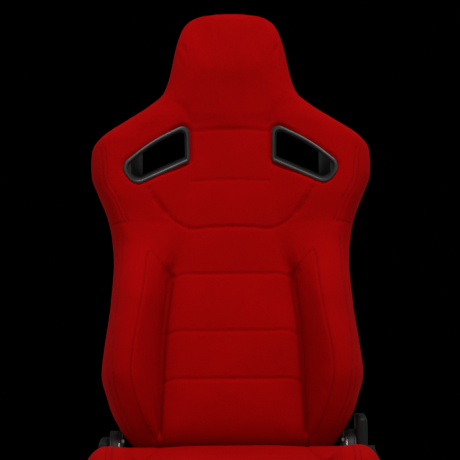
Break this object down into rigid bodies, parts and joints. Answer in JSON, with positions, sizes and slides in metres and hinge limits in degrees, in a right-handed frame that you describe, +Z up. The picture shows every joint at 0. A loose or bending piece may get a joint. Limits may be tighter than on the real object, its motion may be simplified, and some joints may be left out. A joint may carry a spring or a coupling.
{
  "type": "racing seat",
  "caption": "Reclining sport seat in red fabric on slide rails, with a winged headrest back, side bolsters and two framed harness slots.",
  "frame": {"origin": "centre of the four floor bolts, on the underside of the floor rails", "axes": "+Z up, the seat faces -Y, +X to the occupant's left"},
  "size_m": [0.5318, 0.7515, 0.9828],
  "materials": {
    "seat_fabric": "woven knit upholstery fabric with a slight nap",
    "shell_plastic": "satin black grained moulding",
    "bezel_plastic": "satin black moulding",
    "tunnel_plastic": "matte black moulding",
    "cover_plastic": "fine grained black moulding",
    "rail_paint": "black electrocoat",
    "frame_paint": "satin black powder coat",
    "zinc_steel": "zinc plated",
    "fastener_zinc": "bright zinc plated",
    "spring_steel": "oiled spring steel",
    "glide_nylon": "natural nylon"
  },
  "bodies": {
    "rails": {"floor_rail_left": "rail_paint", "floor_rail_right": "rail_paint", "rail_end_stops": "rail_paint"},
    "seat_base": {"slide_rail_left": "zinc_steel", "slide_rail_right": "zinc_steel", "side_member_left": "frame_paint", "side_member_right": "frame_paint", "thigh_bolster_left": "seat_fabric", "thigh_bolster_right": "seat_fabric", "recliner_bracket_left": "frame_paint", "recliner_bracket_right": "frame_paint", "recliner_housing_left": "frame_paint", "recliner_housing_right": "frame_paint", "recliner_cover_left": "cover_plastic", "recliner_cover_right": "cover_plastic", "rail_glides": "glide_nylon", "rail_bolts": "fastener_zinc", "front_cross_tube": "frame_paint", "rear_cross_tube": "frame_paint", "seat_pan": "frame_paint", "seat_springs": "spring_steel", "cushion_center": "seat_fabric", "bracket_bolts": "fastener_zinc", "cover_screws": "fastener_zinc", "lever_spring": "spring_steel", "bar_hangers": "frame_paint", "bar_pins": "zinc_steel", "bar_springs": "spring_steel", "lock_pins": "zinc_steel"},
    "backrest": {"back_arm_left": "frame_paint", "back_arm_right": "frame_paint", "recliner_ring_left": "zinc_steel", "recliner_ring_right": "zinc_steel", "back_bolster_left": "seat_fabric", "back_bolster_right": "seat_fabric", "front_bezel_left": "bezel_plastic", "front_bezel_right": "bezel_plastic", "harness_tunnel_left": "tunnel_plastic", "harness_tunnel_right": "tunnel_plastic", "rear_bezel_left": "bezel_plastic", "rear_bezel_right": "bezel_plastic", "arm_bolts": "fastener_zinc", "back_frame": "frame_paint", "lower_back_tube": "frame_paint", "upper_back_tube": "frame_paint", "suspension_mat": "spring_steel", "center_foam": "seat_fabric", "shoulder_foam": "seat_fabric", "head_pad": "seat_fabric", "rear_shell": "shell_plastic"},
    "lever": {"cross_rod": "zinc_steel", "recliner_cams": "zinc_steel", "recliner_lever": "cover_plastic"},
    "pawl_upper_left": {"pawl_upper_left": "zinc_steel"},
    "pawl_lower_left": {"pawl_lower_left": "zinc_steel"},
    "pawl_upper_right": {"pawl_upper_right": "zinc_steel"},
    "pawl_lower_right": {"pawl_lower_right": "zinc_steel"},
    "release": {"release_bar": "frame_paint"},
    "lock_left": {"rail_lock_left": "zinc_steel"},
    "lock_right": {"rail_lock_right": "zinc_steel"}
  },
  "joints": [
    {"name": "seat_slide", "type": "slide", "parent": "rails", "child": "seat_base", "axis": [0, 1, 0], "range_m": [-0.1, 0.1]},
    {"name": "backrest_recline", "type": "hinge", "parent": "seat_base", "child": "backrest", "pos_m": [0, 0.21, 0.15], "axis": [-1, 0, 0], "range_deg": [-25, 50]},
    {"name": "recliner_lever", "type": "hinge", "parent": "seat_base", "child": "lever", "pos_m": [0, 0.21, 0.15], "axis": [-1, 0, 0], "range_deg": [0, 35], "stiffness_Nm_per_rad": 1.5, "springref_deg": -17.19},
    {"name": "pawl_upper_left_slide", "type": "slide", "parent": "seat_base", "child": "pawl_upper_left", "axis": [0, 0, -1], "range_m": [0, 0.003]},
    {"name": "pawl_lower_left_slide", "type": "slide", "parent": "seat_base", "child": "pawl_lower_left", "axis": [0, 0, 1], "range_m": [0, 0.003]},
    {"name": "pawl_upper_right_slide", "type": "slide", "parent": "seat_base", "child": "pawl_upper_right", "axis": [0, 0, -1], "range_m": [0, 0.003]},
    {"name": "pawl_lower_right_slide", "type": "slide", "parent": "seat_base", "child": "pawl_lower_right", "axis": [0, 0, 1], "range_m": [0, 0.003]},
    {"name": "slide_release", "type": "hinge", "parent": "seat_base", "child": "release", "pos_m": [0, -0.12, 0.03], "axis": [-1, 0, 0], "range_deg": [0, 8], "stiffness_Nm_per_rad": 4, "springref_deg": -17.19},
    {"name": "lock_left_slide", "type": "slide", "parent": "seat_base", "child": "lock_left", "axis": [-1, 0, 0], "range_m": [0, 0.005]},
    {"name": "lock_right_slide", "type": "slide", "parent": "seat_base", "child": "lock_right", "axis": [1, 0, 0], "range_m": [0, 0.005]}
  ],
  "couplings": [
    {"joint": "pawl_upper_left_slide", "follows": "recliner_lever", "m_per_rad": 0.0049},
    {"joint": "pawl_upper_right_slide", "follows": "recliner_lever", "m_per_rad": 0.0049},
    {"joint": "pawl_lower_left_slide", "follows": "recliner_lever", "m_per_rad": 0.0049},
    {"joint": "pawl_lower_right_slide", "follows": "recliner_lever", "m_per_rad": 0.0049},
    {"joint": "lock_left_slide", "follows": "slide_release", "m_per_rad": 0.0355},
    {"joint": "lock_right_slide", "follows": "slide_release", "m_per_rad": 0.0355}
  ]
}
